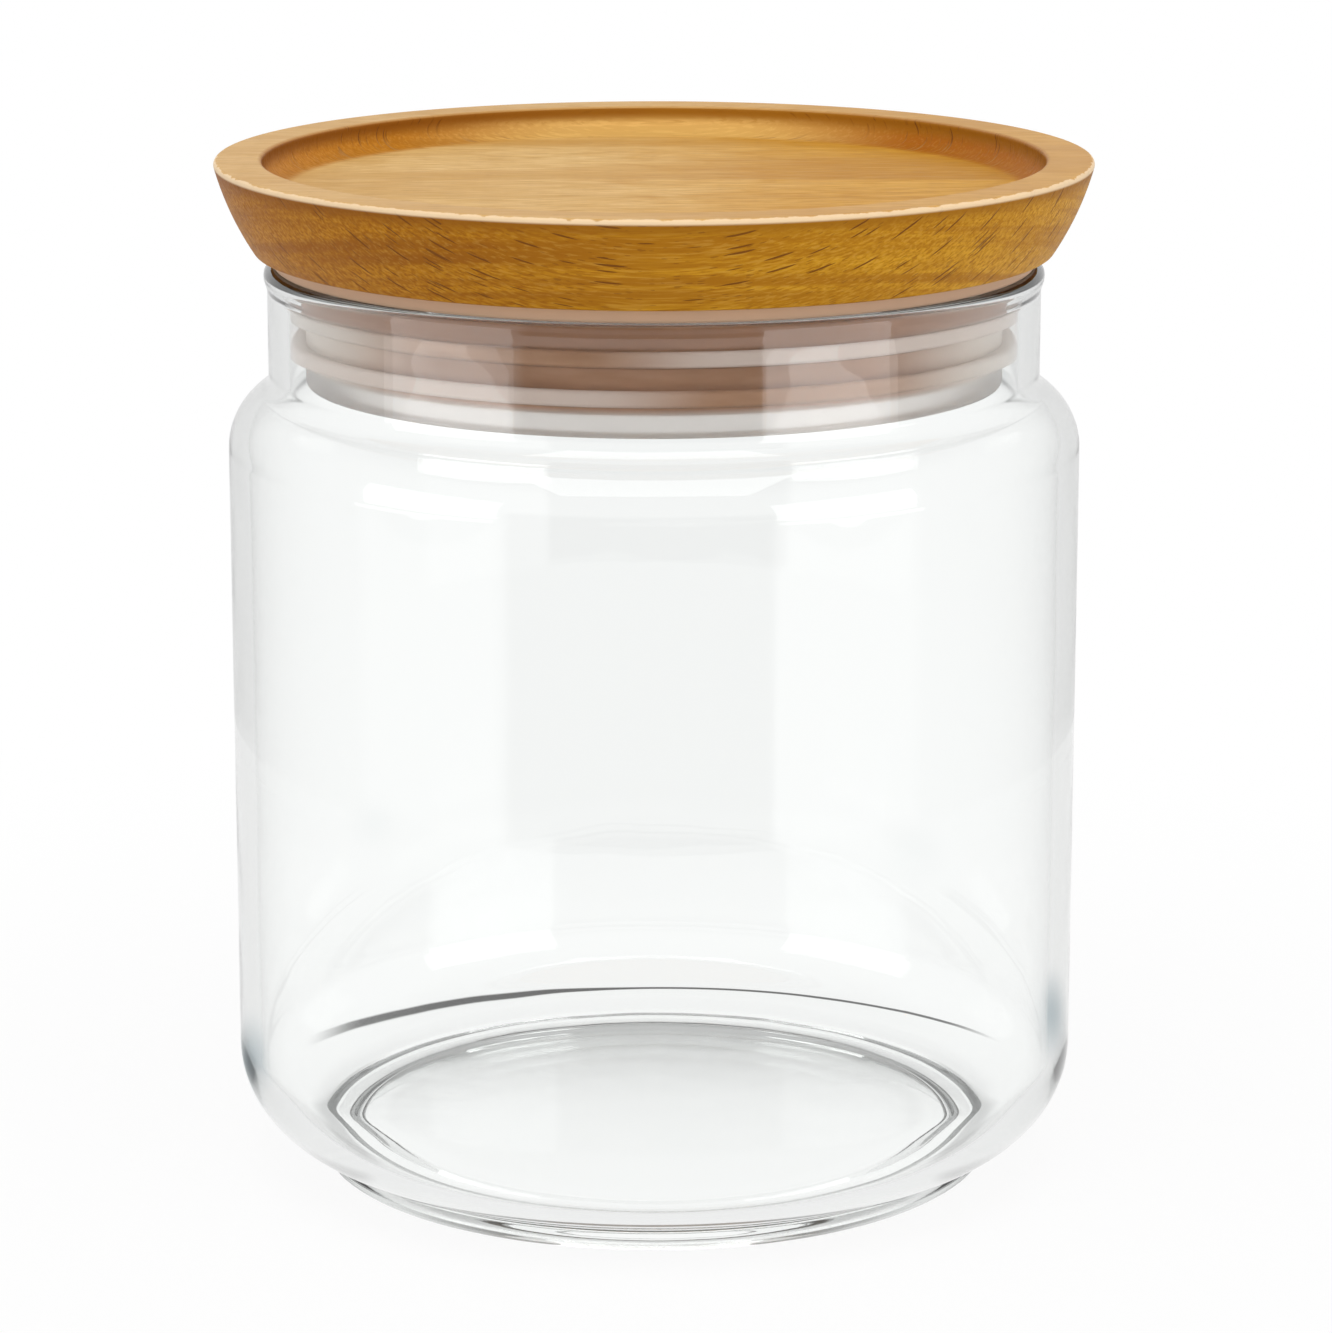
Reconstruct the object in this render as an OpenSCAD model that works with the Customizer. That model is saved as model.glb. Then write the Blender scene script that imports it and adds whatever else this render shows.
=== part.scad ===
// Food canister: a turned wooden lid with a soft ring seal, pushed into the neck of a round glass jar.
// Every piece is turned about Z. The jar's foot stands on the plane Z = 0, and all lengths are in millimetres.

/* [Jar] */
// Outer diameter of the jar's body
body_d = 100; // [94:0.5:140]
// Height of the jar from the table to its rim
jar_h = 108; // [80:0.5:220]
// Thickness of the body's wall
wall = 2.4; // [1.8:0.1:4]
// Height of the inner floor above the table
floor_h = 4.4; // [4:0.1:10]
// Radius of the outer curve from the body into the base
heel_r = 11.4; // [6:0.1:16]
// Radius of the inner curve from the wall into the floor
inner_heel_r = 10.5; // [5:0.5:16]

/* [Neck] */
// How far the straight neck lies inside the body's outer face
neck_inset = 4.8; // [3:0.1:12]
// Thickness of the neck's wall
neck_wall = 2.5; // [1.8:0.1:4]
// Height of the neck from the rim down to where it flares
neck_h = 12.8; // [11:0.2:30]
// How far the rim's bead stands out from the neck
rim_bead = 0.4; // [0.1:0.05:1.2]
// Height over which the bead runs out into the neck
rim_bead_h = 3; // [2:0.1:6]
// Radius of the rim's fire-polished edges
rim_edge_r = 1.1; // [0.4:0.05:1.6]
// Radius of the hollow curve between the neck and the shoulder
neck_fillet_r = 2.2; // [1:0.1:6]
// Radius of the rounded shoulder
shoulder_r = 8; // [4:0.5:16]
// Steepest turn of the shoulder away from the body's wall, in degrees
shoulder_turn = 58; // [40:1:80]

/* [Foot] */
// Outer diameter of the foot ring
foot_d = 80.4; // [60:0.2:88]
// Height of the foot ring below the heel
foot_h = 2.75; // [2:0.05:5]
// Radius of the foot ring's lower edge
foot_edge_r = 0.9; // [0.3:0.05:1.2]
// Radius of the hollow corner between the foot ring and the heel
foot_fillet_r = 0.8; // [0.3:0.05:1]
// Width of the flat ring that touches the table
bearing_w = 1.9; // [1:0.1:6]
// Height of the recess under the base
recess_h = 2.2; // [0.6:0.1:2.4]
// Width of the recess's rounded edge
recess_run = 2.2; // [0.6:0.1:4]

/* [Seal] */
// Thickness of the flange between the lid and the jar's rim
flange_t = 1.75; // [1:0.05:3]
// How far the flange's edge lies inside the neck's outer face
flange_inset = 0.7; // [0:0.1:1.2]
// Thickness of the sleeve around the lid's spigot
sleeve_t = 1.5; // [1:0.1:3]
// Width of the gap between the sleeve and the neck's bore, which the lips bridge
sleeve_gap = 1.9; // [0.8:0.1:3]
// Height of each lip where it meets the bore
lip_h = 1.9; // [1:0.1:3]
// How far each lip rises from the sleeve to the bore
lip_rise = 0.5; // [0:0.1:1.5]
// Depth of the upper lip's top below the rim
upper_lip_drop = 3.1; // [1.5:0.1:8]
// Distance from one lip to the next
lip_pitch = 4.4; // [3.2:0.1:8]
// Height of the plain skirt below the lower lip
skirt_h = 3.4; // [2.6:0.1:8]
// Thickness of the rim that hooks under the lid's spigot
hook_t = 2.4; // [1:0.1:2.5]
// Width of the rim that hooks under the lid's spigot
hook_w = 3; // [1:0.1:6]

/* [Lid] */
// Height of the wooden lid above the seal
lid_h = 10.65; // [8:0.05:24]
// How far the lid's lower edge overhangs the seal's flange
lid_overhang = 2.1; // [0.5:0.1:6]
// How much wider the lid's top is than its lower edge, on each side
lid_flare = 4.7; // [0:0.1:10]
// How far the lid's outer wall bulges from a straight taper
lid_bulge = 0.5; // [0.1:0.05:1.5]
// Width of the flat rim around the lid's dished top
lid_rim_w = 5.75; // [3:0.05:12]
// Depth of the dish in the lid's top
dish_depth = 3.5; // [2:0.1:6]
// Radius of the curve between the dish's wall and floor
dish_curve_r = 3; // [0.5:0.1:6]
// Radius of the lid's eased edges
lid_edge_r = 0.5; // [0.2:0.05:1]

/* [Clearances] */
// Gap between a seal lip and the neck's bore
lip_clearance = 0.15; // [0.1:0.05:0.5]
// Gap between the lid's spigot and the seal around it
turn_clearance = 0.05; // [0.02:0.01:0.1]

/* [Hidden] */
$fn = 180;
ARC_STEP = 6;
CURVE_POINTS = 12;

// Jar radii
body_r = body_d / 2;
body_bore_r = body_r - wall;
neck_r = body_r - neck_inset;
bore_r = neck_r - neck_wall;
foot_r = foot_d / 2;
bead_r = neck_r + rim_bead;
rim_r = min(rim_edge_r, 0.4 * (bead_r - bore_r));
inner_shoulder_r = max(shoulder_r - wall, 1);
inner_fillet_r = neck_fillet_r + neck_wall;

// Jar heights
neck_z = jar_h - neck_h;
shoulder_z = neck_z - shoulder_drop(body_r - neck_r, shoulder_r + neck_fillet_r);
inner_neck_z = shoulder_z + shoulder_drop(body_bore_r - bore_r, inner_shoulder_r + inner_fillet_r);
heel_z = foot_h + heel_r;

// Foot ring and recess
heel_axis_r = body_r - heel_r;
foot_turn = acos(max(0, foot_r + foot_fillet_r - heel_axis_r) / (heel_r + foot_fillet_r));
foot_corner_z = heel_z - (heel_r + foot_fillet_r) * sin(foot_turn);
bearing_r = foot_r - foot_edge_r - bearing_w;
recess_r = bearing_r - recess_run;

// Seal radii and heights
flange_r = neck_r - flange_inset;
sleeve_r = bore_r - sleeve_gap;
spigot_seat_r = sleeve_r - sleeve_t;
hook_r = spigot_seat_r - hook_w;
lip_r = bore_r - lip_clearance;
lip_edge_r = 0.25 * lip_h;
flange_edge_r = 0.25 * flange_t;
skirt_edge_r = 0.5 * sleeve_t;
seal_z = jar_h - upper_lip_drop - lip_pitch - lip_h - lip_rise - skirt_h;
hook_z = seal_z + hook_t;
lid_z = jar_h + flange_t;

// Lid radii and heights
lid_base_r = flange_r + lid_overhang;
lid_top_r = lid_base_r + lid_flare;
lid_top_z = lid_z + lid_h;
dish_r = lid_top_r - lid_rim_w;
dish_z = lid_top_z - dish_depth;
dish_r_limit = dish_depth - lid_edge_r;
spigot_r = spigot_seat_r - turn_clearance;
spigot_z = hook_z + turn_clearance;

function unit(v) = v / norm(v);

// Angle brought into the half turn either side of zero
function half_turn(a) = a > 180 ? a - 360 : a < -180 ? a + 360 : a;

// Points on an arc, with both ends
function arc(centre, r, from, to) =
    let (count = max(2, ceil(abs(to - from) / ARC_STEP)))
    [for (i = [0:count]) let (a = from + (to - from) * i / count) centre + r * [cos(a), sin(a)]];

// Points that round the corner b, between its neighbours a and c, to radius r
function eased(a, b, c, r) =
    let (
        to_a = unit(a - b),
        to_c = unit(c - b),
        half = acos(to_a * to_c) / 2,
        centre = b + unit(to_a + to_c) * r / sin(half),
        first = b + to_a * r / tan(half) - centre,
        last = b + to_c * r / tan(half) - centre,
        from = atan2(first[1], first[0])
    )
    arc(centre, r, from, from + half_turn(atan2(last[1], last[0]) - from));

// Points from a to b that bulge to the right of that line
function bulged(a, b, bulge) =
    let (out = [(b - a)[1], (a - b)[0]] / norm(b - a))
    [for (i = [0:CURVE_POINTS]) let (t = i / CURVE_POINTS) a + (b - a) * t + out * 4 * bulge * t * (1 - t)];

// The turn of a shoulder, less where the step is too small for its two curves
function shoulder_angle(step, radii) = acos(max(cos(shoulder_turn), 1 - step / radii));

// Height of a shoulder with this step and this sum of its two curves' radii
function shoulder_drop(step, radii) =
    let (turn = shoulder_angle(step, radii))
    radii * sin(turn) + (step - radii * (1 - cos(turn))) / tan(turn);

// Shoulder from the neck down to the body
function shoulder(r_neck, z_neck, r_fillet, r_body, z_body, r_shoulder) =
    let (turn = shoulder_angle(r_body - r_neck, r_fillet + r_shoulder))
    concat(
        arc([r_neck + r_fillet, z_neck], r_fillet, 180, 180 + turn),
        arc([r_body - r_shoulder, z_body], r_shoulder, turn, 0)
    );

function reversed(points) = [for (i = [len(points) - 1:-1:0]) points[i]];

// Underside of the jar, from the axis to the foot ring's corner with the heel
function foot_outline() =
    concat(
        [[0, recess_h]],
        [for (i = [0:CURVE_POINTS])
            let (t = i / CURVE_POINTS)
            [recess_r + recess_run * t, recess_h * (1 + cos(180 * t)) / 2]],
        arc([foot_r - foot_edge_r, foot_edge_r], foot_edge_r, -90, 0),
        arc([foot_r + foot_fillet_r, foot_corner_z], foot_fillet_r, 180, 180 - foot_turn)
    );

// Rim bead and the rim's two rounded edges, from the outside to the bore
function rim_outline() =
    concat(
        [for (i = [0:CURVE_POINTS])
            let (t = i / CURVE_POINTS)
            [neck_r + rim_bead * (1 - cos(180 * t)) / 2, jar_h - rim_bead_h + (rim_bead_h - rim_r) * t]],
        arc([bead_r - rim_r, jar_h - rim_r], rim_r, 0, 90),
        arc([bore_r + rim_r, jar_h - rim_r], rim_r, 90, 180)
    );

module glass_jar() {
    outer = concat(
        arc([heel_axis_r, heel_z], heel_r, -foot_turn, 0),
        reversed(shoulder(neck_r, neck_z, neck_fillet_r, body_r, shoulder_z, shoulder_r))
    );
    inner = concat(
        shoulder(bore_r, inner_neck_z, inner_fillet_r, body_bore_r, shoulder_z, inner_shoulder_r),
        arc([body_bore_r - inner_heel_r, floor_h + inner_heel_r], inner_heel_r, 0, -90),
        [[0, floor_h]]
    );
    color([0.85, 0.92, 0.9, 0.35])
        rotate_extrude()
            polygon(concat(foot_outline(), outer, rim_outline(), inner));
}

// One sealing lip, with its top at the height z, leaning up towards the bore
function lip_outline(z) =
    let (
        root_base = [sleeve_r, z - lip_h - lip_rise],
        tip_base = [lip_r, z - lip_h],
        tip_top = [lip_r, z],
        root_top = [sleeve_r, z - lip_rise]
    )
    concat(
        [root_base],
        eased(root_base, tip_base, tip_top, lip_edge_r),
        eased(tip_base, tip_top, root_top, lip_edge_r),
        [root_top]
    );

module seal() {
    outline = concat(
        [[spigot_seat_r, lid_z], [spigot_seat_r, hook_z], [hook_r, hook_z], [hook_r, seal_z]],
        arc([sleeve_r - skirt_edge_r, seal_z + skirt_edge_r], skirt_edge_r, -90, 0),
        lip_outline(jar_h - upper_lip_drop - lip_pitch),
        lip_outline(jar_h - upper_lip_drop),
        [[sleeve_r, jar_h]],
        arc([flange_r - flange_edge_r, jar_h + flange_edge_r], flange_edge_r, -90, 0),
        arc([flange_r - flange_edge_r, lid_z - flange_edge_r], flange_edge_r, 0, 90)
    );
    color([0.74, 0.66, 0.62, 0.8])
        rotate_extrude()
            polygon(outline);
}

module wooden_lid() {
    rim_inner = [dish_r, lid_top_z];
    rim_outer = [lid_top_r, lid_top_z];
    base_outer = [lid_base_r, lid_z];
    wall_outline = bulged(base_outer, rim_outer, lid_bulge);
    curve_r = min(dish_curve_r, dish_r_limit);
    spigot_edge_r = min(lid_edge_r, hook_w);
    outline = concat(
        [[0, spigot_z]],
        eased([0, spigot_z], [spigot_r, spigot_z], [spigot_r, lid_z], spigot_edge_r),
        [[spigot_r, lid_z]],
        eased([spigot_r, lid_z], base_outer, wall_outline[1], lid_edge_r),
        [for (i = [1:CURVE_POINTS - 1]) wall_outline[i]],
        eased(wall_outline[CURVE_POINTS - 1], rim_outer, rim_inner, lid_edge_r),
        eased(rim_outer, rim_inner, [dish_r, dish_z], lid_edge_r),
        arc([dish_r - curve_r, dish_z + curve_r], curve_r, 0, -90),
        [[0, dish_z]]
    );
    color([0.80, 0.63, 0.40])
        rotate_extrude()
            polygon(outline);
}

glass_jar();
seal();
wooden_lid();
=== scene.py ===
"""Food canister: a glass jar, a soft ring seal and a turned beech lid, drawn over the CAD frame."""

import math

import bmesh
import bpy
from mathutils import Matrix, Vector


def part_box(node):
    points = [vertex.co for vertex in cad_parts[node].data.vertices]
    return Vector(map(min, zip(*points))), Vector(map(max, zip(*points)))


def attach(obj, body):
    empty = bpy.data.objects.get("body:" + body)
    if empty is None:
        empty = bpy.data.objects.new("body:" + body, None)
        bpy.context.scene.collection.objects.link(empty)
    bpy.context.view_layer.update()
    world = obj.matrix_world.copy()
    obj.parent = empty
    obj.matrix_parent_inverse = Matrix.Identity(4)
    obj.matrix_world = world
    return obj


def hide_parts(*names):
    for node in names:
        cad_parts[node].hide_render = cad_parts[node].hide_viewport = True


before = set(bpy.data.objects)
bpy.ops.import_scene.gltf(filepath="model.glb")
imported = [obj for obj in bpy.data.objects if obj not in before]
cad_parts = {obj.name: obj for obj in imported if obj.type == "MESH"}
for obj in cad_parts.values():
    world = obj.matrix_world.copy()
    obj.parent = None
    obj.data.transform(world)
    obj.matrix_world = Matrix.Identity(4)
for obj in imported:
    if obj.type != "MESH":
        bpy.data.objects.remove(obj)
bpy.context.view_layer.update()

MM = 0.001

# Photograph, with its width and focal length in pixels
FRAME_W = 1332
FOCAL_PX = 5115
CAMERA_AT = Vector((0, -593, 200.5)) * MM
CAMERA_PITCH = math.radians(13.4)
CAMERA_YAW = math.radians(-0.134)

# Turned pieces
SEGMENTS = 256
SHARP_ANGLE = math.radians(30)
ARC_TURN = math.radians(12)
WELD = 0.002 * MM
RIPPLE_SIZE = 6 * MM
RIPPLE_HEIGHT = 4 * MM
GLASS_RIPPLE = 0.06 * MM

# Places on the pieces
JAR_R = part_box("glass_jar")[1][0]
JAR_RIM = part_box("glass_jar")[1][2]
SPIGOT_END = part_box("wooden_lid")[0][2]
LID_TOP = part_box("wooden_lid")[1][2]
LID_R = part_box("wooden_lid")[1][0]
DISH_R = LID_R - 5.6 * MM
FOOT_R = 40.2 * MM
RECESS_R = 32 * MM
RECESS_TOP = 2.5 * MM
LIP_R = 42.55 * MM
LIPS_MIDDLE = 101.8 * MM


class Graph:
    """A node tree that grows one node at a time, each fed by values or by other nodes' sockets."""

    def __init__(self, tree):
        self.tree = tree
        tree.nodes.clear()

    def add(self, kind, inputs=None, **settings):
        node = self.tree.nodes.new(kind)
        for name, value in settings.items():
            setattr(node, name, value)
        for name, value in (inputs or {}).items():
            self.feed(node.inputs[name], value)
        return node

    def feed(self, socket, value):
        if isinstance(value, bpy.types.NodeSocket):
            self.tree.links.new(value, socket)
        else:
            socket.default_value = value

    def math(self, operation, a, b=0.0):
        return self.add("ShaderNodeMath", {0: a, 1: b}, operation=operation).outputs[0]

    def times(self, *factors):
        product = factors[0]
        for factor in factors[1:]:
            product = self.math("MULTIPLY", product, factor)
        return product

    def largest(self, *values):
        top = values[0]
        for value in values[1:]:
            top = self.math("MAXIMUM", top, value)
        return top

    def count(self, operation, a, b):
        return self.add("FunctionNodeIntegerMath", {0: a, 1: b}, operation=operation).outputs[0]

    def vector(self, operation, a, b):
        return self.add("ShaderNodeVectorMath", {0: a, 1: b}, operation=operation).outputs[0]

    def parts(self, vector):
        return self.add("ShaderNodeSeparateXYZ", {0: vector}).outputs

    def radius(self, spot):
        """Distance from the Z axis."""
        squares = self.math("ADD", self.times(spot["X"], spot["X"]), self.times(spot["Y"], spot["Y"]))
        return self.math("SQRT", squares)

    def tilted(self, vector, angle):
        """The place turned about X by this angle."""
        inputs = {"Vector": vector, "Angle": angle}
        return self.add("ShaderNodeVectorRotate", inputs, rotation_type="X_AXIS").outputs[0]

    def between(self, value, low, high, at_low=0.0, at_high=1.0):
        """The value's place between low and high, eased, as a number from at_low to at_high."""
        inputs = {"Value": value, "From Min": low, "From Max": high, "To Min": at_low, "To Max": at_high}
        return self.add("ShaderNodeMapRange", inputs, interpolation_type="SMOOTHSTEP").outputs[0]

    def mix(self, factor, a, b):
        node = self.add("ShaderNodeMix", data_type="RGBA")
        for socket, value in zip((node.inputs[0], node.inputs[6], node.inputs[7]), (factor, a, b)):
            self.feed(socket, value)
        return node.outputs[2]

    def noise(self, vector, scale=1.0, detail=2.0, distortion=0.0):
        inputs = {"Vector": vector, "Scale": scale, "Detail": detail, "Distortion": distortion}
        return self.add("ShaderNodeTexNoise", inputs).outputs["Fac"]

    def stretched(self, vector, sizes):
        """The place measured in units of these three sizes, which are in millimetres."""
        return self.vector("DIVIDE", vector, tuple(size * MM for size in sizes))


def grey(level):
    return (level, level, level, 1)


# Pieces turned from the CAD's own half-sections


def half_section(node):
    """Radius and height of a turned node's outline, in order.

    Where the outline stops at the edge of a flat disc, the disc's middle, on the axis, is added.
    """
    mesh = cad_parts[node].data
    spots = [(round(math.hypot(v.co.x, v.co.y), 6), round(v.co.z, 6)) for v in mesh.vertices]
    beside = {spot: set() for spot in spots}
    for edge in mesh.edges:
        a, b = (spots[i] for i in edge.vertices)
        if a != b:
            beside[a].add(b)
            beside[b].add(a)
    ends = [spot for spot in beside if len(beside[spot]) == 1]
    path = [min(ends or beside)]
    while True:
        ahead = [spot for spot in beside[path[-1]] if spot not in path]
        if not ahead:
            break
        path.append(min(ahead))
    if ends:
        return [(0, path[0][1]), *path, (0, path[-1][1])]
    return [*path, path[0]]


def turn_between(a, b, c):
    """Angle between the lines a-b and b-c."""
    first = Vector(b) - Vector(a)
    return first.angle(Vector(c) - Vector(b))


def smoothed(points):
    """Outline with each small turn of an arc cut into two smaller ones; real corners stay."""
    fine = [points[0]]
    for a, b, c in zip(points, points[1:], points[2:]):
        if turn_between(a, b, c) > ARC_TURN:
            fine.append(b)
            continue
        a, b, c = Vector(a), Vector(b), Vector(c)
        cut = min((b - a).length, (c - b).length) / 4
        fine.append(b + (a - b).normalized() * cut)
        fine.append(b + (c - b).normalized() * cut)
    return [*fine, points[-1]]


def turned_tree():
    """Geometry nodes that turn a half-section in the XZ plane about Z, and ripple it near the table."""
    tree = bpy.data.node_groups.new("turned piece", "GeometryNodeTree")
    sockets = {
        "Section": "NodeSocketGeometry",
        "Segments": "NodeSocketInt",
        "Ripple": "NodeSocketFloat",
        "Ripple Size": "NodeSocketFloat",
        "Ripple Height": "NodeSocketFloat",
        "Material": "NodeSocketMaterial",
    }
    for name, kind in sockets.items():
        tree.interface.new_socket(name, in_out="INPUT", socket_type=kind)
    tree.interface.new_socket("Piece", in_out="OUTPUT", socket_type="NodeSocketGeometry")
    graph = Graph(tree)
    given = graph.add("NodeGroupInput").outputs
    size = graph.add("GeometryNodeAttributeDomainSize", {"Geometry": given["Section"]})
    points = size.outputs["Point Count"]
    rings = graph.count("ADD", given["Segments"], 1)
    grid = graph.add("GeometryNodeMeshGrid", {"Vertices X": rings, "Vertices Y": points}).outputs["Mesh"]
    index = graph.add("GeometryNodeInputIndex").outputs[0]
    place = graph.add("GeometryNodeInputPosition").outputs[0]
    sample = graph.add(
        "GeometryNodeSampleIndex",
        {"Geometry": given["Section"], "Index": graph.count("MODULO", index, points)},
        data_type="FLOAT_VECTOR",
    )
    graph.feed(sample.inputs["Value"], place)
    section = graph.parts(sample.outputs[0])
    part_turn = graph.math("DIVIDE", graph.count("DIVIDE", index, points), given["Segments"])
    angle = graph.times(part_turn, math.tau)
    round_z = graph.add(
        "ShaderNodeCombineXYZ",
        {
            "X": graph.times(section["X"], graph.math("COSINE", angle)),
            "Y": graph.times(section["X"], graph.math("SINE", angle)),
            "Z": section["Z"],
        },
    ).outputs[0]
    turned = graph.add("GeometryNodeSetPosition", {"Geometry": grid, "Position": round_z}).outputs[0]
    near_table = graph.between(graph.parts(place)["Z"], given["Ripple Height"], 0)
    wave = graph.noise(graph.vector("DIVIDE", place, given["Ripple Size"]))
    lift = graph.times(wave, near_table, given["Ripple"])
    offset = graph.add("ShaderNodeCombineXYZ", {"Z": lift}).outputs[0]
    rippled = graph.add("GeometryNodeSetPosition", {"Geometry": turned, "Offset": offset}).outputs[0]
    welded = graph.add("GeometryNodeMergeByDistance", {"Geometry": rippled, "Distance": WELD}).outputs[0]
    smooth = graph.add("GeometryNodeSetShadeSmooth", {"Geometry": welded}).outputs[0]
    real = graph.add("GeometryNodeRealizeInstances", {"Geometry": smooth}).outputs[0]
    finish = graph.add("GeometryNodeSetMaterial", {"Geometry": real, "Material": given["Material"]})
    graph.add("NodeGroupOutput", {"Piece": finish.outputs[0]})
    return tree


def turned_piece(name, tree, node, body, material, ripple=0.0):
    """A finished piece turned from a CAD node's half-section, in that node's place."""
    outline = smoothed(half_section(node))
    line = bpy.data.meshes.new(name)
    line.from_pydata([(r, 0, z) for r, z in outline], [(i, i + 1) for i in range(len(outline) - 1)], [])
    piece = bpy.data.objects.new(name, line)
    bpy.context.scene.collection.objects.link(piece)
    modifier = piece.modifiers.new("turn", "NODES")
    modifier.node_group = tree
    values = {
        "Segments": SEGMENTS,
        "Ripple": ripple,
        "Ripple Size": RIPPLE_SIZE,
        "Ripple Height": RIPPLE_HEIGHT,
        "Material": material,
    }
    for item in tree.interface.items_tree:
        if item.name in values:
            modifier[item.identifier] = values[item.name]
    depsgraph = bpy.context.evaluated_depsgraph_get()
    mesh = bpy.data.meshes.new_from_object(piece.evaluated_get(depsgraph))
    piece.modifiers.clear()
    piece.data = mesh
    shell = bmesh.new()
    shell.from_mesh(mesh)
    bmesh.ops.recalc_face_normals(shell, faces=shell.faces)
    shell.to_mesh(mesh)
    shell.free()
    mesh.set_sharp_from_angle(angle=SHARP_ANGLE)
    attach(piece, body)
    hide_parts(node)


# Materials

GRAIN_BLEND = 30 * MM
LAYER_LEAN = math.radians(9)
RAY_LEAN = math.radians(30)


def new_material(name):
    material = bpy.data.materials.new(name)
    material.use_nodes = True
    graph = Graph(material.node_tree)
    place = graph.add("ShaderNodeTexCoord").outputs["Object"]
    return material, graph, place


def bumped(graph, height, distance):
    return graph.add("ShaderNodeBump", {"Height": height, "Distance": distance}).outputs[0]


def glass_material():
    """Clear pressed glass: its surface swells slowly, its depth is faintly green, and its recess is satin."""
    material, graph, place = new_material("clear glass")
    spot = graph.parts(place)
    swell = graph.noise(place, scale=90, detail=1)
    film = graph.noise(place, scale=40, detail=3)
    below = graph.between(spot["Z"], RECESS_TOP + 0.5 * MM, RECESS_TOP)
    recess = graph.times(below, graph.between(graph.radius(spot), RECESS_R + 2 * MM, RECESS_R))
    polish = graph.math("ADD", graph.between(film, 0.45, 0.8, 0.0, 0.02), graph.times(recess, 0.12))
    surface = graph.add(
        "ShaderNodeBsdfPrincipled",
        {
            "Base Color": (0.988, 0.994, 0.990, 1),
            "Roughness": polish,
            "IOR": 1.51,
            "Specular IOR Level": 0.75,
            "Transmission Weight": 1.0,
            "Normal": bumped(graph, swell, 0.02 * MM),
        },
    )
    depth = graph.add("ShaderNodeVolumeAbsorption", {"Color": (0.82, 0.93, 0.88, 1), "Density": 8.0})
    graph.add("ShaderNodeOutputMaterial", {"Surface": surface.outputs[0], "Volume": depth.outputs[0]})
    return material


def silicone_material():
    """Soft translucent ring, rosy where the spigot's wood lies behind it and clear below the spigot.

    It is painted paler towards both sides, as light that falls there, and painted darker just under the lid,
    as shade. A lip is palest where it is pressed flat: the upper lip on the right, the lower one on the left.
    """
    deep_rose = (0.50, 0.265, 0.145, 1)
    rose = (0.64, 0.375, 0.235, 1)
    # Painted light for the sides, and painted shade for just under the lid
    painted_side_light = (0.95, 0.86, 0.78, 1)
    painted_shade_under_lid = (0.46, 0.21, 0.10, 1)
    clear_skirt = (0.95, 0.91, 0.88, 1)
    pressed_lip = (0.96, 0.82, 0.74, 1)
    flange = (0.70, 0.47, 0.32, 1)

    material, graph, place = new_material("silicone")
    spot = graph.parts(place)
    cloud = graph.noise(graph.stretched(place, (14, 14, 3)), detail=3)
    rosy = graph.mix(graph.between(cloud, 0.3, 0.7), deep_rose, rose)
    # Painted light: the seal is painted paler towards both sides.
    lit_sides = graph.between(graph.math("ABSOLUTE", spot["X"]), 22 * MM, 38 * MM)
    rosy = graph.mix(lit_sides, rosy, painted_side_light)
    # Painted shade: the seal darkens just under the lid.
    shaded = graph.between(spot["Z"], JAR_RIM - 4 * MM, JAR_RIM - 2 * MM, 0.0, 0.7)
    rosy = graph.mix(shaded, rosy, painted_shade_under_lid)
    over_wood = graph.between(spot["Z"], SPIGOT_END - 0.15 * MM, SPIGOT_END + 1.05 * MM)
    colour = graph.mix(over_wood, clear_skirt, rosy)

    right = graph.between(spot["X"], -8 * MM, 8 * MM)
    upper = graph.between(spot["Z"], LIPS_MIDDLE - 0.4 * MM, LIPS_MIDDLE + 0.4 * MM)
    unlike = graph.math("ABSOLUTE", graph.math("SUBTRACT", upper, right))
    touching = graph.between(graph.radius(spot), LIP_R - 1.15 * MM, LIP_R - 0.15 * MM)
    pressed = graph.times(touching, graph.math("SUBTRACT", 1.0, unlike), 0.8)
    colour = graph.mix(pressed, colour, pressed_lip)
    on_rim = graph.between(spot["Z"], JAR_RIM - 0.4 * MM, JAR_RIM + 0.2 * MM)
    colour = graph.mix(on_rim, colour, flange)
    surface = graph.add(
        "ShaderNodeBsdfPrincipled",
        {
            "Base Color": colour,
            "Roughness": 0.45,
            "IOR": 1.12,
            "Transmission Weight": graph.between(over_wood, 0.0, 1.0, 0.65, 0.2),
            "Normal": bumped(graph, graph.noise(place, scale=900), 0.01 * MM),
        },
    )
    graph.add("ShaderNodeOutputMaterial", {"Surface": surface.outputs[0]})
    return material


def dashes(graph, place, sizes, share, reach):
    """Lens-shaped marks in this share of the cells of these sizes, each up to reach cells from its middle."""
    cell = graph.add("ShaderNodeTexVoronoi", {"Vector": graph.stretched(place, sizes), "Scale": 1.0}).outputs
    chance = graph.add("ShaderNodeSeparateColor", {0: cell["Color"]}).outputs[0]
    size = graph.between(chance, 1 - share, 1.0, 0.0, reach)
    return graph.between(graph.math("SUBTRACT", size, cell["Distance"]), 0.0, 0.1)


def beech_figure(graph, place, normal):
    """The wood's leaning growth layers, mottle, fibre and streaks, and the rays that the surface cuts."""
    layers = graph.tilted(place, LAYER_LEAN)
    growth = graph.noise(graph.stretched(layers, (120, 60, 1.5)), detail=4, distortion=0.5)
    mottle = graph.noise(graph.stretched(layers, (9, 7, 2.2)), detail=5, distortion=1.0)
    log = graph.tilted(place, RAY_LEAN)
    fibre = graph.noise(graph.stretched(log, (6, 0.4, 0.6)), detail=4)
    streak = graph.noise(graph.stretched(log, (4.5, 0.26, 0.36)), detail=4, distortion=0.3)
    ray_face = graph.math("ABSOLUTE", graph.parts(graph.tilted(normal, RAY_LEAN))["Y"])
    cut_across = graph.between(ray_face, 0.95, 0.7)
    ray = graph.times(dashes(graph, log, (4.6, 0.27, 5), 0.42, 0.45), cut_across)
    fine_ray = graph.times(dashes(graph, log, (1.3, 0.18, 3), 0.55, 0.42), cut_across)
    return growth, mottle, fibre, streak, ray, fine_ray


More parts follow.
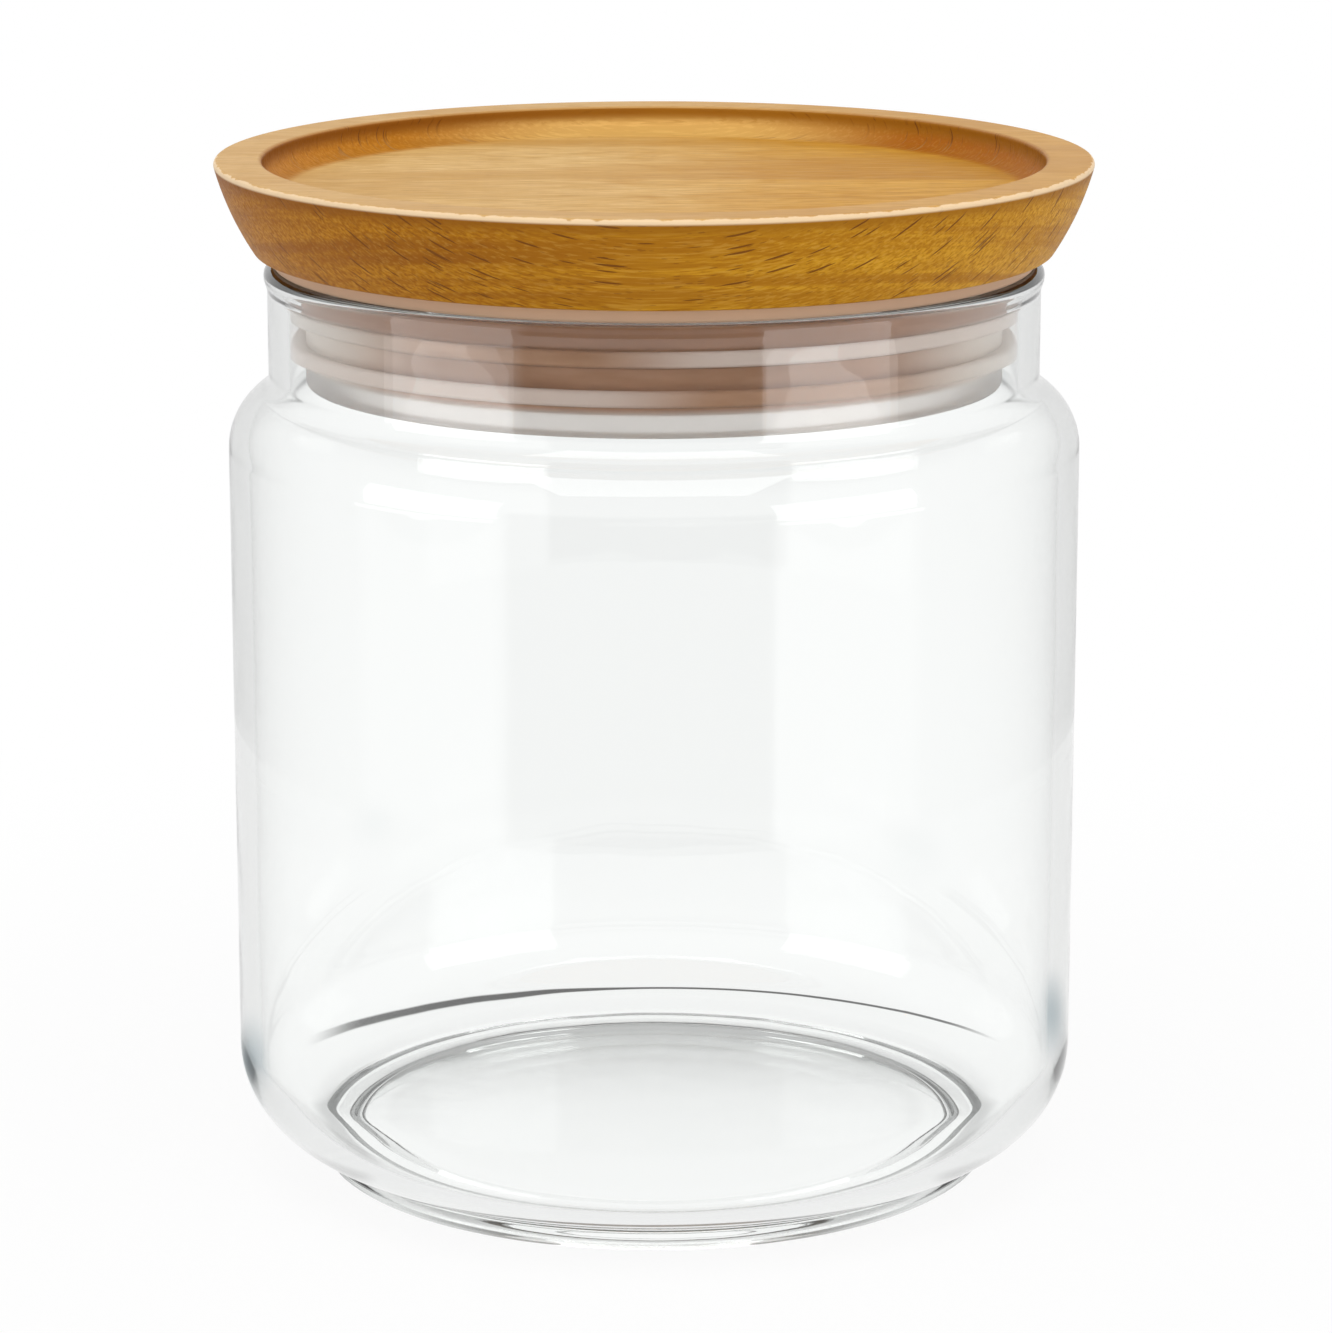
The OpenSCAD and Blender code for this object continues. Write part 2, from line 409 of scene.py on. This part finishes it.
def beech_tones(graph, along, endwise, flat, bowl):
    """Light and dark wood of each face, which change along the grain, and the dark wood of the outer wall.

    Faces that lie flat are painted paler than that wall, as lit from above, and the wall darker, as shade.
    The flat faces and the dish's ends carry a painted sheen that fades towards +X. The dish's own wall is
    painted paler, as lit, and is darker at both ends of the grain.
    """
    # Painted sheen: flat faces and the dish's ends are paler towards -X, fading towards +X.
    painted_sheen_fade = graph.between(along, 0, 40 * MM)
    outer = graph.between(along, -20 * MM, 35 * MM)
    wall_light = graph.mix(outer, (0.45, 0.18, 0.003, 1), (0.60, 0.295, 0.012, 1))
    wall_dark = graph.mix(outer, (0.28, 0.09, 0.002, 1), (0.39, 0.155, 0.003, 1))
    # Flat faces are painted paler than the outer wall, as light from above falls on them.
    floor_light = graph.mix(painted_sheen_fade, (0.78, 0.51, 0.20, 1), (0.71, 0.37, 0.05, 1))
    floor_dark = graph.mix(painted_sheen_fade, (0.60, 0.33, 0.09, 1), (0.52, 0.23, 0.018, 1))
    dish_end = graph.mix(painted_sheen_fade, (0.50, 0.19, 0.010, 1), (0.36, 0.095, 0.002, 1))
    # The dish's wall is painted paler, as lit, front and back; its grain's ends stay darker.
    dish_light = graph.mix(graph.between(endwise, 0.2, 0.75), (0.86, 0.54, 0.17, 1), dish_end)
    dish_dark = graph.mix(0.4, dish_light, wall_dark)
    # Mixed by face: painted light on flat faces, painted shade on the outer wall, painted light on the dish's
    # wall.
    light = graph.mix(bowl, graph.mix(flat, wall_light, floor_light), dish_light)
    dark = graph.mix(bowl, graph.mix(flat, wall_dark, floor_dark), dish_dark)
    return light, dark, wall_dark


def beech_material():
    """Oiled beech with its grain along X, dark below the dish's lip, with painted shade under the worn, pale
    top edge.
    """
    deep_brown = (0.16, 0.05, 0.003, 1)
    lip_brown = (0.26, 0.08, 0.003, 1)
    rim_pale = (0.64, 0.39, 0.17, 1)
    flat_stain = (0.42, 0.21, 0.06, 1)
    gold = (0.95, 0.66, 0.20, 1)
    worn_pale = (0.88, 0.68, 0.44, 1)

    material, graph, place = new_material("beech")
    spot = graph.parts(place)
    normal = graph.add("ShaderNodeTexCoord").outputs["Normal"]
    around = graph.radius(spot)
    rise = graph.math("SUBTRACT", spot["Z"], LID_TOP)
    endwise = graph.math("DIVIDE", graph.math("ABSOLUTE", spot["X"]), around)
    flat = graph.between(graph.parts(normal)["Z"], 0.35, 0.95)
    rim = graph.times(flat, graph.between(rise, -1.2 * MM, -0.3 * MM))
    dish = graph.between(around, DISH_R + 0.6 * MM, DISH_R)
    bowl = graph.times(dish, graph.between(around, DISH_R - 3.4 * MM, DISH_R - 1.8 * MM))

    growth, mottle, fibre, streak, ray, fine_ray = beech_figure(graph, place, normal)
    along = graph.math("ADD", spot["X"], graph.times(mottle, GRAIN_BLEND))
    light, dark, wall_dark = beech_tones(graph, along, endwise, flat, bowl)
    wood = graph.mix(graph.between(growth, 0.34, 0.60), dark, light)
    wood = graph.mix(graph.between(mottle, 0.45, 0.72, 0.0, 0.5), wood, dark)
    wood = graph.mix(graph.between(fibre, 0.4, 0.65, 0.0, 0.5), wood, dark)
    wood = graph.mix(graph.between(streak, 0.50, 0.64, 0.0, 0.9), wood, dark)
    wood = graph.mix(graph.between(streak, 0.50, 0.34, 0.0, 0.25), wood, graph.mix(0.3, light, gold))

    lip = graph.times(dish, graph.between(rise, -1.6 * MM, -0.7 * MM), 0.6)
    wood = graph.mix(lip, wood, lip_brown)
    # Painted shade: the outer wall darkens just under the top edge.
    painted_shade_under_edge = graph.times(graph.between(rise, -2.6 * MM, -0.7 * MM), graph.between(flat, 0.5, 0.0), 0.9)
    wood = graph.mix(painted_shade_under_edge, wood, graph.mix(0.3, wall_dark, deep_brown))
    wood = graph.mix(graph.times(rim, 0.5), wood, rim_pale)

    stain = graph.mix(flat, deep_brown, flat_stain)
    quiet = graph.math("SUBTRACT", graph.largest(flat, dish), graph.times(bowl, 0.7))
    wood = graph.mix(graph.times(ray, graph.between(quiet, 0, 1, 0.9, 0.4)), wood, stain)
    wood = graph.mix(graph.times(fine_ray, graph.between(quiet, 0, 1, 0.5, 0.25)), wood, stain)

    wear = graph.times(graph.noise(place, scale=600, detail=4), 0.9 * MM)
    worn = graph.between(graph.math("ADD", around, wear), LID_R + 0.1 * MM, LID_R + 0.25 * MM)
    edge = graph.times(worn, graph.between(rise, -0.8 * MM, -0.45 * MM), 0.8)
    wood = graph.mix(edge, wood, worn_pale)

    height = graph.math("SUBTRACT", graph.times(fibre, 0.6), ray)
    surface = graph.add(
        "ShaderNodeBsdfPrincipled",
        {
            "Base Color": wood,
            "Roughness": graph.between(fibre, 0.2, 0.8, 0.42, 0.58),
            "Specular IOR Level": 0.12,
            "Normal": bumped(graph, height, 0.03 * MM),
        },
    )
    graph.add("ShaderNodeOutputMaterial", {"Surface": surface.outputs[0]})
    return material


# Stage

TABLE_R = 0.23
TABLE_DROP = 0.3 * MM
SHADE_BY_JAR = 0.93
WALL_SHADOW_R = 61.5 * MM
LID_SHADOWS = ((Vector((-66, 26, 0)) * MM, 26 * MM), (Vector((84, 40, 0)) * MM, 26 * MM))
FRONT_TURN = math.radians(-4)
FRONT_HALF = math.radians(38)

# Lamps, in metres and degrees
OBJECT_CENTRE = Vector((0, 0, 0.06))
CEILING_UP = 68
CEILING_AWAY = 1.4
CEILING_W = 1.2
WINDOW_AWAY = 0.9
WINDOW_W = 0.69


def shadow_lines(graph, spot, reach):
    """How dark the table's thin shadows are.

    One runs behind the jar and is wider on the left. Two lie beside the foot.
    """
    beside = graph.math("ABSOLUTE", spot["X"])
    width = graph.between(spot["X"], 0, -25 * MM, 0.6 * MM, 2.0 * MM)
    away = graph.math("ABSOLUTE", graph.math("SUBTRACT", reach, WALL_SHADOW_R))
    line = graph.between(graph.math("DIVIDE", away, width), 1.0, 0.5)
    behind = graph.times(graph.between(beside, 50 * MM, 40 * MM), graph.between(spot["Y"], 5 * MM, 20 * MM))
    inner = graph.between(reach, FOOT_R, FOOT_R + 1.3 * MM)
    outer = graph.between(reach, FOOT_R + 6.8 * MM, FOOT_R + 2.8 * MM)
    foot = graph.times(inner, outer, graph.between(beside, 33 * MM, 38 * MM), 0.5)
    return graph.largest(graph.times(line, behind), foot)


def table_material():
    """White table that keeps a light shadow by the jar, and runs out into the white of the room.

    Through the glass it also shows its thin shadows. Light that the glass has mirrored on the way sees
    it darker, the more often the darker, and sees the lid's soft shadow on either side.
    """
    material, graph, place = new_material("table")
    spot = graph.parts(place)
    reach = graph.radius(spot)
    ray = graph.add("ShaderNodeLightPath").outputs
    through_glass = ray["Is Transmission Ray"]
    seen = graph.largest(ray["Is Camera Ray"], through_glass, ray["Is Glossy Ray"])
    plain = graph.between(reach, JAR_R, 0.95 * TABLE_R, SHADE_BY_JAR, 1.0)
    plain = graph.largest(plain, through_glass)
    mirrored = graph.math("GREATER_THAN", ray["Glossy Depth"], 0.5)
    dimmed = graph.largest(graph.times(mirrored, 0.13), graph.between(ray["Glossy Depth"], 1, 2, 0.0, 0.6))
    shade = graph.times(graph.largest(shadow_lines(graph, spot, reach), dimmed), through_glass)
    shown = graph.mix(shade, grey(1), grey(0.1))
    for centre, size in LID_SHADOWS:
        away = graph.add("ShaderNodeVectorMath", {0: place, 1: centre}, operation="DISTANCE").outputs["Value"]
        patch = graph.times(graph.between(away, size, 0), mirrored, 0.8)
        shown = graph.mix(patch, shown, (0.36, 0.43, 0.46, 1))
    matt = graph.add("ShaderNodeBsdfDiffuse", {"Color": grey(0.85)}).outputs[0]
    glow = graph.add("ShaderNodeEmission", {"Color": shown}).outputs[0]
    surface = graph.add("ShaderNodeMixShader", {0: graph.times(seen, plain), 1: matt, 2: glow})
    graph.add("ShaderNodeOutputMaterial", {"Surface": surface.outputs[0]})
    return material


def table_top():
    mesh = bpy.data.meshes.new("table")
    disc = bmesh.new()
    bmesh.ops.create_circle(disc, cap_ends=True, segments=96, radius=TABLE_R)
    disc.to_mesh(mesh)
    disc.free()
    mesh.materials.append(table_material())
    table = bpy.data.objects.new("table", mesh)
    table.location.z = -TABLE_DROP
    bpy.context.scene.collection.objects.link(table)


def white_room():
    """White to the camera and through glass, darker overhead and dimmer for matt surfaces.

    Light that the glass has mirrored sees it a little grey, dark low down on the camera's side, and
    darker still after a second mirroring.
    """
    world = bpy.data.worlds.new("room")
    world.use_nodes = True
    bpy.context.scene.world = world
    graph = Graph(world.node_tree)
    way = graph.parts(graph.add("ShaderNodeTexCoord").outputs["Generated"])
    ray = graph.add("ShaderNodeLightPath").outputs
    azimuth = graph.math("ARCTAN2", way["X"], graph.times(way["Y"], -1.0))
    beside = graph.math("ABSOLUTE", graph.math("SUBTRACT", azimuth, FRONT_TURN))
    front = graph.between(beside, FRONT_HALF, 0.9 * FRONT_HALF)
    low_front = graph.times(front, graph.between(way["Z"], 0.15, -0.05))
    mirrored = graph.math("GREATER_THAN", ray["Glossy Depth"], 0.5)
    overhead = graph.between(way["Z"], 0.5, 1.0, 1.0, 0.35)
    on_matt = graph.between(ray["Is Diffuse Ray"], 0, 1, 1.0, 0.6)
    once = graph.between(mirrored, 0, 1, 1.0, graph.between(low_front, 0, 1, 0.86, 0.3))
    twice = graph.between(ray["Glossy Depth"], 1, 2, 1.0, 0.4)
    level = graph.largest(graph.times(overhead, on_matt, once, twice), ray["Is Camera Ray"])
    light = graph.add("ShaderNodeBackground", {"Color": grey(1), "Strength": level}).outputs[0]
    graph.add("ShaderNodeOutputWorld", {"Surface": light})


def soft_lamp(name, azimuth, elevation, distance, size, radiance, mirrored=True):
    """A flat lamp, this wide and high, that faces the object; azimuth 0 is the camera's side.

    One that isn't mirrored lights the object but doesn't show in the glass.
    """
    width, height = size
    data = bpy.data.lights.new(name, "AREA")
    data.shape = "RECTANGLE"
    data.size = width
    data.size_y = height
    data.energy = radiance * math.pi * width * height
    lamp = bpy.data.objects.new(name, data)
    lamp.visible_glossy = mirrored
    around, up = math.radians(azimuth), math.radians(elevation)
    outward = Vector((math.sin(around) * math.cos(up), -math.cos(around) * math.cos(up), math.sin(up)))
    lamp.location = OBJECT_CENTRE + outward * distance
    lamp.rotation_euler = outward.to_track_quat("Z", "Y").to_euler()
    bpy.context.scene.collection.objects.link(lamp)


def window(side, azimuth, radiance):
    """A window's light, and what the glass shows of it: a bright sill between two faint panes."""
    soft_lamp(side + "_window", azimuth, 6.9, WINDOW_AWAY, (WINDOW_W, 0.46), radiance, mirrored=False)
    soft_lamp(side + "_upper_pane", azimuth, 9.0, WINDOW_AWAY, (WINDOW_W, 0.40), 0.1 * radiance)
    soft_lamp(side + "_sill", azimuth, -7.0, WINDOW_AWAY, (WINDOW_W, 0.04), 0.72 * radiance)
    soft_lamp(side + "_lower_pane", azimuth, -14.8, WINDOW_AWAY + 0.03, (WINDOW_W, 0.19), 0.1 * radiance)


def photograph_camera():
    data = bpy.data.cameras.new("camera")
    data.sensor_fit = "HORIZONTAL"
    data.lens = data.sensor_width * FOCAL_PX / FRAME_W
    camera = bpy.data.objects.new("camera", data)
    camera.location = CAMERA_AT
    camera.rotation_euler = (math.pi / 2 - CAMERA_PITCH, 0, CAMERA_YAW)
    bpy.context.scene.collection.objects.link(camera)
    bpy.context.scene.camera = camera


tree = turned_tree()
turned_piece("jar", tree, "glass_jar", "jar", glass_material(), GLASS_RIPPLE)
turned_piece("ring_seal", tree, "seal", "seal", silicone_material())
turned_piece("lid", tree, "wooden_lid", "lid", beech_material())
table_top()
white_room()
photograph_camera()
soft_lamp("overhead", 0, CEILING_UP, CEILING_AWAY, (CEILING_W, CEILING_W), 2.4, mirrored=False)
soft_lamp("ceiling", 0, CEILING_UP, CEILING_AWAY, (CEILING_W, 0.7), 1.2)
window("left", -63, 1.7)
window("right", 53, 2.0)

scene = bpy.context.scene
scene.view_settings.view_transform = "Standard"
scene.cycles.max_bounces = 24
scene.cycles.transmission_bounces = 24
scene.cycles.glossy_bounces = 12
